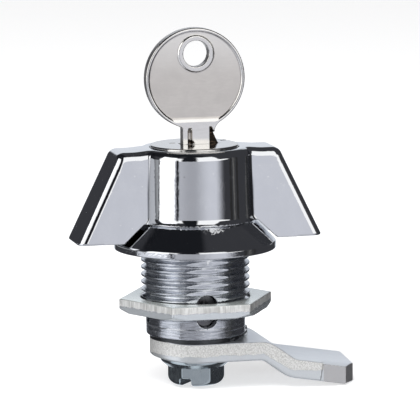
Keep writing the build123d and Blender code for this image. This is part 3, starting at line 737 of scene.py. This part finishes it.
def key_form(x, y, z):
    bow = np.hypot(x - bow_centre[0], z - bow_centre[1]) - bow_r
    right = np.clip(blade_right - (z - shoulder_foot) / shoulder_steep, neck_right, blade_right)
    for height, edge in zip(wafer_heights, cut_edges):
        right = np.where(z < height + 1.2, edge, right)
    blade = np.maximum(rounded(blade_left - x, blade_tip - z, 1.0), z - bow_centre[1])
    blade = rounded(blade, x - right, 0.15)
    nose = (x - 1.15 - (z - blade_tip)) / sqrt(2)
    blade = np.maximum(blade, nose)
    outline = hollowed(bow, blade, np.where(x < 1, 0.5, 1.3))
    from_centre = np.hypot(x - bow_centre[0], z - bow_centre[1])
    from_hole = np.hypot(x - hole_centre[0], z - hole_centre[1])
    wall = rounded((from_centre + rim_width - bow_r) / rim_wall, (bow_chord - z) / chord_wall, 0.4)
    wall = rounded(wall, (collar_r - from_hole) / collar_wall, 0.2)
    wall = np.clip(1 + wall, 0, 1)
    face = web_half + (key_half - web_half) * wall * wall * (3 - 2 * wall)
    form = rounded(outline, np.abs(y) - face, 0.1 + 0.2 * np.clip((z - mill_top) / 2, 0, 1))
    run_out = mill_top - np.clip(x - 3.4, 0, 0.6) * shoulder_steep - z
    thin = np.maximum(np.maximum(mill_from - x, y), -run_out * 0.42)
    form = rounded(form, -thin, 0.05)
    groove = np.hypot(x + groove_left, np.maximum(y + 1.02 + 0.5 * np.maximum(z - 23.4, 0), 0)) - groove_half
    groove = np.maximum(groove, z - mill_top)
    form = rounded(form, -groove, 0.05)
    return rounded(form, hole_r - from_hole, 0.15)


key = cast("key_blank", key_form, key_low, key_high, (0.16, 0.16, 0.16), 0.4)

key_finish, tree, shader, place = finish("key_nickel", 0.3)
at = add(tree, "SeparateXYZ", {0: place})
brushed = grain(tree, place, 0.5, 5.0, (0.3, 1, 1))
worn = grain(tree, place, 3.0, 4.0)
face_depth = add(tree, "Math", {0: at.outputs["Y"]}, operation="ABSOLUTE").outputs[0]
low_face = between(tree, face_depth, web_half + 0.14, web_half + 0.04)
colour = blend(tree, brushed, (0.68, 0.645, 0.61, 1), (0.81, 0.77, 0.73, 1))
colour = blend(tree, between(tree, worn, 0.35, 0.75), colour, (0.69, 0.655, 0.62, 1))
# Painted light: the colour grows paler towards the top of the bow, standing in for the light falling there.
painted_top_light = between(tree, at.outputs["Z"], 33.0, 44.0, 0.0, 0.75)
colour = blend(tree, painted_top_light, colour, (0.97, 0.95, 0.92, 1))
rim_colour = blend(tree, brushed, (0.84, 0.82, 0.79, 1), (0.95, 0.93, 0.90, 1))
skin = blend(tree, low_face, rim_colour, colour)
past_mill = between(tree, at.outputs["X"], mill_from, 3.1)
below_mill = between(tree, at.outputs["Z"], 24.9, 24.4)
milled = sum_of(tree, "MULTIPLY", past_mill, below_mill)
milled = sum_of(tree, "MULTIPLY", milled, between(tree, at.outputs["Y"], -1.12, -1.0))
swarf = add(tree, "VectorMath", {0: place, 1: (-0.95, -1.2, 21.55)}, operation="SUBTRACT").outputs[0]
swarf = add(tree, "VectorMath", {0: swarf, 1: (1.15, 0.5, 1.9)}, operation="MULTIPLY").outputs[0]
swarf = add(tree, "VectorMath", {0: swarf}, operation="LENGTH").outputs["Value"]
swarf = sum_of(tree, "ADD", swarf, between(tree, grain(tree, place, 0.5, 3.0), 0.3, 0.7, -0.45, 0.45))
milled = sum_of(tree, "MAXIMUM", milled, between(tree, swarf, 0.9, 0.7))
bare = blend(tree, between(tree, brushed, 0.5, 0.75), (0.018, 0.014, 0.011, 1), (0.22, 0.16, 0.11, 1))
tree.links.new(blend(tree, milled, skin, bare), shader.inputs["Base Color"])
tree.links.new(between(tree, low_face, 0, 1, 0.13, 0.33), shader.inputs["Roughness"])
relief(tree, shader, sum_of(tree, "ADD", brushed, worn), 0.006)
use(key, key_finish, "key", "key")

# ------------------------------------------------------------------ stop washer
# A square-holed washer stamped from dark-plated sheet.  Its folded tab runs in the cut-out in the barrel's
# end and stops the handle at each end of its quarter turn.
stop_low, stop_high = [[1000 * c for c in corner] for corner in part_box("stop_washer")]
stop_r = -stop_low[0]
stop_face = -17.5
tab_half = 1.5
tab_inner = 9.4
square_hole = 4.05


def stop_form(x, y, z):
    out = np.hypot(x, y)
    tongue = np.maximum(np.maximum(-x, x - stop_high[0]), np.abs(y) - tab_half)
    outline = hollowed(out - stop_r, tongue, 0.3)
    plate = rounded(rounded(outline, z - stop_face, 0.12), stop_low[2] - z, 0.12)
    tab = rounded(rounded(x - stop_high[0], z - stop_high[2], 0.2), np.abs(y) - tab_half, 0.15)
    tab = np.maximum(np.maximum(tab, tab_inner - x), stop_low[2] + 0.3 - z)
    form = np.minimum(plate, tab)
    square = rounded(np.abs(x) - square_hole, np.abs(y) - square_hole, 0.3)
    return rounded(form, -square, 0.06)


stop_washer = cast("stop_plate", stop_form, stop_low, stop_high, (0.18, 0.18, 0.12), 0.35)

stop_finish, tree, shader, place = finish("dark_zinc", 0.35)
# Painted glints: bright flecks in the base colour, only towards the tab's side of the washer.
glints = grain(tree, place, 0.9, 5.0, (1, 1, 1.6))
to_tab = between(tree, add(tree, "SeparateXYZ", {0: place}).outputs["X"], 3.0, 8.5, 0.0, 1.0)
glint = sum_of(tree, "MULTIPLY", between(tree, glints, 0.50, 0.58), to_tab)
base = blend(tree, grain(tree, place, 2.0), (0.05, 0.055, 0.06, 1), (0.12, 0.125, 0.13, 1))
tree.links.new(blend(tree, glint, base, (0.75, 0.76, 0.78, 1)), shader.inputs["Base Color"])
tree.links.new(between(tree, glint, 0, 1, 0.42, 0.22), shader.inputs["Roughness"])
relief(tree, shader, glints, 0.05)
use(stop_washer, stop_finish, "handle", "stop_washer")

# ------------------------------------------------------------------ cam
# Blanked from thick steel strip, cranked twice in a press and zinc plated.  Its blanked sides are smooth
# below and broken above, and its tip is ground to a lead-in on the side that meets the frame first.
cam_low, cam_high = [[1000 * c for c in corner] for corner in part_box("cam")]
cam_half = cam_high[1]
cam_top = cam_high[2]
cam_half_thickness = 1.75
cam_middle = cam_top - cam_half_thickness
cam_swell = 0.35
bend_start = 12.4
bend_end = 17.8
cam_drop = 3.9
tip_slope = radians(9.5)
bend_radius = 4.5
lead_start = 24.3
lead_width = 3.0
lead_drop = 0.3
corner_start = 28.9
corner_lean = (0.8606, 0.5093)
end_place = (31.8, 4.45)
end_lean = (0.9962, 0.0866)


def cam_level(x, z):
    """The height over the strip's middle, across it."""
    run, drop = bend_end - bend_start, cam_drop
    length = sqrt(run * run + drop * drop)
    flat = z - cam_middle
    crank = ((x - bend_start) * drop + (z - cam_middle) * run) / length
    tip = (x - bend_end) * sin(tip_slope) + (z - cam_middle + cam_drop) * cos(tip_slope)
    return hollowed(rounded(flat, crank, bend_radius, 35.8), tip, bend_radius, 26.3)


def cam_form(x, y, z):
    out = np.hypot(x, y)
    outline = np.where(x > 0, np.abs(y), out) - cam_half
    corner = (x - corner_start) * corner_lean[0] - (y + cam_half) * corner_lean[1]
    end = (x - end_place[0]) * end_lean[0] - (y + end_place[1]) * end_lean[1]
    outline = rounded(rounded(outline, end, 0.35, 85.0), corner, 0.3, 35.0)
    level = cam_level(x, z)
    form = rounded(outline, level - cam_half_thickness, 0.22)
    form = rounded(form, -cam_half_thickness - cam_swell - level, 0.45)
    lead_top = cam_top - cam_drop - (lead_start - bend_end) * tan(tip_slope)
    ahead = (x - lead_start) * cos(tip_slope) - (z - lead_top) * sin(tip_slope)
    inward = y + cam_half
    bevel = -(level - cam_half_thickness + lead_drop - inward * lead_drop / lead_width) / 1.035
    lead = np.maximum(-ahead, np.minimum(bevel, inward - 0.25))
    form = rounded(form, -lead, 0.08)
    square = rounded(np.abs(x) - square_hole, np.abs(y) - square_hole, 0.3)
    return rounded(form, -square, 0.1)


cam = cast("cam_strip", cam_form, cam_low, cam_high, (0.2, 0.2, 0.14), 0.35)

cam_finish, tree, shader, place = finish("cam_zinc", 0.3, 0.7)
at = add(tree, "SeparateXYZ", {0: place})
facing = add(tree, "SeparateXYZ", {0: add(tree, "NewGeometry").outputs["Normal"]})
across_x = at.outputs["X"]
drop_1 = between(tree, across_x, 11.2, 19.0, 0, 4.1)
past_bend = add(tree, "Math", {0: sum_of(tree, "SUBTRACT", across_x, 19.0), 1: 0.0}, operation="MAXIMUM")
drop_2 = sum_of(tree, "MULTIPLY", past_bend.outputs[0], tan(tip_slope))
level = sum_of(tree, "ADD", sum_of(tree, "SUBTRACT", at.outputs["Z"], cam_top), drop_1)
level = sum_of(tree, "ADD", level, drop_2)
speckle = grain(tree, place, 0.3, 5.0)
blotch = grain(tree, place, 1.6, 4.0, (0.6, 0.6, 1))
ragged = sum_of(tree, "ADD", level, between(tree, blotch, 0.3, 0.7, -0.22, 0.22))
torn_to = sum_of(tree, "SUBTRACT", ragged, between(tree, across_x, 14.0, 25.0, -2.55, -1.55))
broken = between(tree, torn_to, -0.07, 0.07)
side = between(tree, facing.outputs["Z"], 0.55, 0.35)
ground = between(tree, across_x, lead_start, 24.4)
broken = sum_of(tree, "MULTIPLY", sum_of(tree, "MULTIPLY", broken, side), between(tree, ground, 1, 0))
top = blend(tree, blotch, (0.76, 0.79, 0.83, 1), (0.86, 0.89, 0.92, 1))
clean = blend(tree, speckle, (0.62, 0.65, 0.67, 1), (0.72, 0.745, 0.76, 1))
torn = blend(tree, between(tree, speckle, 0.3, 0.7), (0.70, 0.695, 0.67, 1), (1.0, 1.0, 0.98, 1))
clean = blend(tree, ground, clean, (0.52, 0.515, 0.515, 1))
skin = blend(tree, side, top, blend(tree, broken, clean, torn))
tree.links.new(skin, shader.inputs["Base Color"])
tree.links.new(between(tree, broken, 0, 1, 0.28, 0.6), shader.inputs["Roughness"])
height = sum_of(tree, "ADD", sum_of(tree, "MULTIPLY", broken, speckle), between(tree, blotch, 0, 1, 0, 0.12))
relief(tree, shader, height, 0.06)
use(cam, cam_finish, "handle", "cam")

# ------------------------------------------------------------------ spring washer and cam screw
# A dished spring washer and a domed hexagon screw with a driver slot, both cold formed in steel and blue
# zinc plated, clamp the cam on its square.
dish_low, dish_high = [[1000 * c for c in corner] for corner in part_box("dish_washer")]
dish_edge = dish_high[2] - 1.05
dish_foot = 5.75
dish_bottom = dish_low[2] - 0.45
dish_bore = 3.15


def dish_form(x, y, z):
    out = np.hypot(x, y)
    height = dish_edge - dish_bottom
    narrow = dish_high[0] - dish_foot
    cone = ((out - dish_high[0]) * height + (dish_edge - z) * narrow) / sqrt(height ** 2 + narrow ** 2)
    form = rounded(rounded(out - dish_high[0], z - dish_high[2], 0.2), cone, 0.5, 55.0)
    form = rounded(form, dish_bottom - z, 0.1, 40.0)
    return rounded(form, dish_bore - out, 0.1)


dish = cast("dish_spring", dish_form, dish_low, dish_high, (0.16, 0.16, 0.1), 0.35)

screw_low, screw_high = [[1000 * c for c in corner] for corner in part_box("cam_screw")]
screw_end = screw_low[2]
head_seat = -23.8
head_half = 5.0
dome_height = 2.1
corner_r = head_half / cos(radians(30)) + 0.1
slot_turn = radians(51.0)
slot_half = 1.1
slot_depth = 1.7
shank_half = 3.0
screw_thread_depth = 0.25


def screw_form(x, y, z):
    out = np.hypot(x, y)
    head = hexagon(x, y, head_half, 76.5, 0.25)
    head = rounded(head, rounded(out - corner_r, screw_end - z, dome_height), 0.25)
    head = rounded(head, z - head_seat, 0.15)
    off_slot = np.abs(y * cos(slot_turn) - x * sin(slot_turn))
    cut = rounded(off_slot - slot_half, z - screw_end - slot_depth, 0.6)
    head = rounded(head, -cut, 0.4)
    turn = np.abs(((z - np.arctan2(y, x) / (2 * pi)) % 1.0) - 0.5)
    turns = (np.hypot(x, y) - shank_half + screw_thread_depth * turn) * 0.85
    shank = np.maximum(rounded(turns, z - screw_high[2], 0.2), head_seat - 0.5 - z)
    return np.minimum(head, shank)


cam_screw = cast("screw_forging", screw_form, screw_low, screw_high, (0.16, 0.16, 0.12), 0.35)

for piece, node, name in ((dish, "dish_washer", "dish_zinc"), (cam_screw, "cam_screw", "screw_zinc")):
    blue, tree, shader, place = finish(name, 0.25)
    cloud = grain(tree, place, 1.6, 3.0)
    tree.links.new(
        blend(tree, cloud, (0.50, 0.57, 0.60, 1), (0.66, 0.73, 0.75, 1)), shader.inputs["Base Color"]
    )
    tree.links.new(between(tree, cloud, 0.3, 0.7, 0.14, 0.24), shader.inputs["Roughness"])
    relief(tree, shader, grain(tree, place, 0.5, 3.0), 0.01)
    use(piece, blue, "handle", node)

# ------------------------------------------------------------------ wafers, springs, retainer and bolt
# The works inside: five brass wafers stamped from strip, each pushed by a coil spring, the spring-loaded
# retainer of the plug, and the hardened drive pin that throws the ground bolt.
for slot, nodes, low_colour, high_colour, rough, scale in (
    ("wafer_brass", [f"wafer_{i}" for i in range(1, 6)] + ["plug_retainer"],
     (0.60, 0.44, 0.20, 1), (0.74, 0.58, 0.30, 1), 0.32, 0.5),
    ("spring_steel", [f"wafer_spring_{i}" for i in range(1, 6)] + ["retainer_spring"],
     (0.40, 0.40, 0.41, 1), (0.55, 0.55, 0.56, 1), 0.3, 0.12),
    # The drive pin and bolt are dark hardened steel, with painted shade as well: their colour is kept darker
    # still, so that the bolt seen in the barrel's slots looks like a shaded hollow.
    ("pin_steel", ["drive_pin", "locking_bolt"],
     (0.10, 0.10, 0.11, 1), (0.22, 0.22, 0.23, 1), 0.26, 0.6),
):
    inner, tree, shader, place = finish(slot + "_finish", rough)
    marks = grain(tree, place, scale, 4.0, (1, 1, 0.25))
    tree.links.new(blend(tree, marks, low_colour, high_colour), shader.inputs["Base Color"])
    tree.links.new(between(tree, marks, 0.2, 0.8, rough - 0.06, rough + 0.1), shader.inputs["Roughness"])
    relief(tree, shader, marks, 0.006)
    for node in nodes:
        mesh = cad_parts[node].data
        if mesh.materials:
            for i in range(len(mesh.materials)):
                mesh.materials[i] = inner
        else:
            mesh.materials.append(inner)
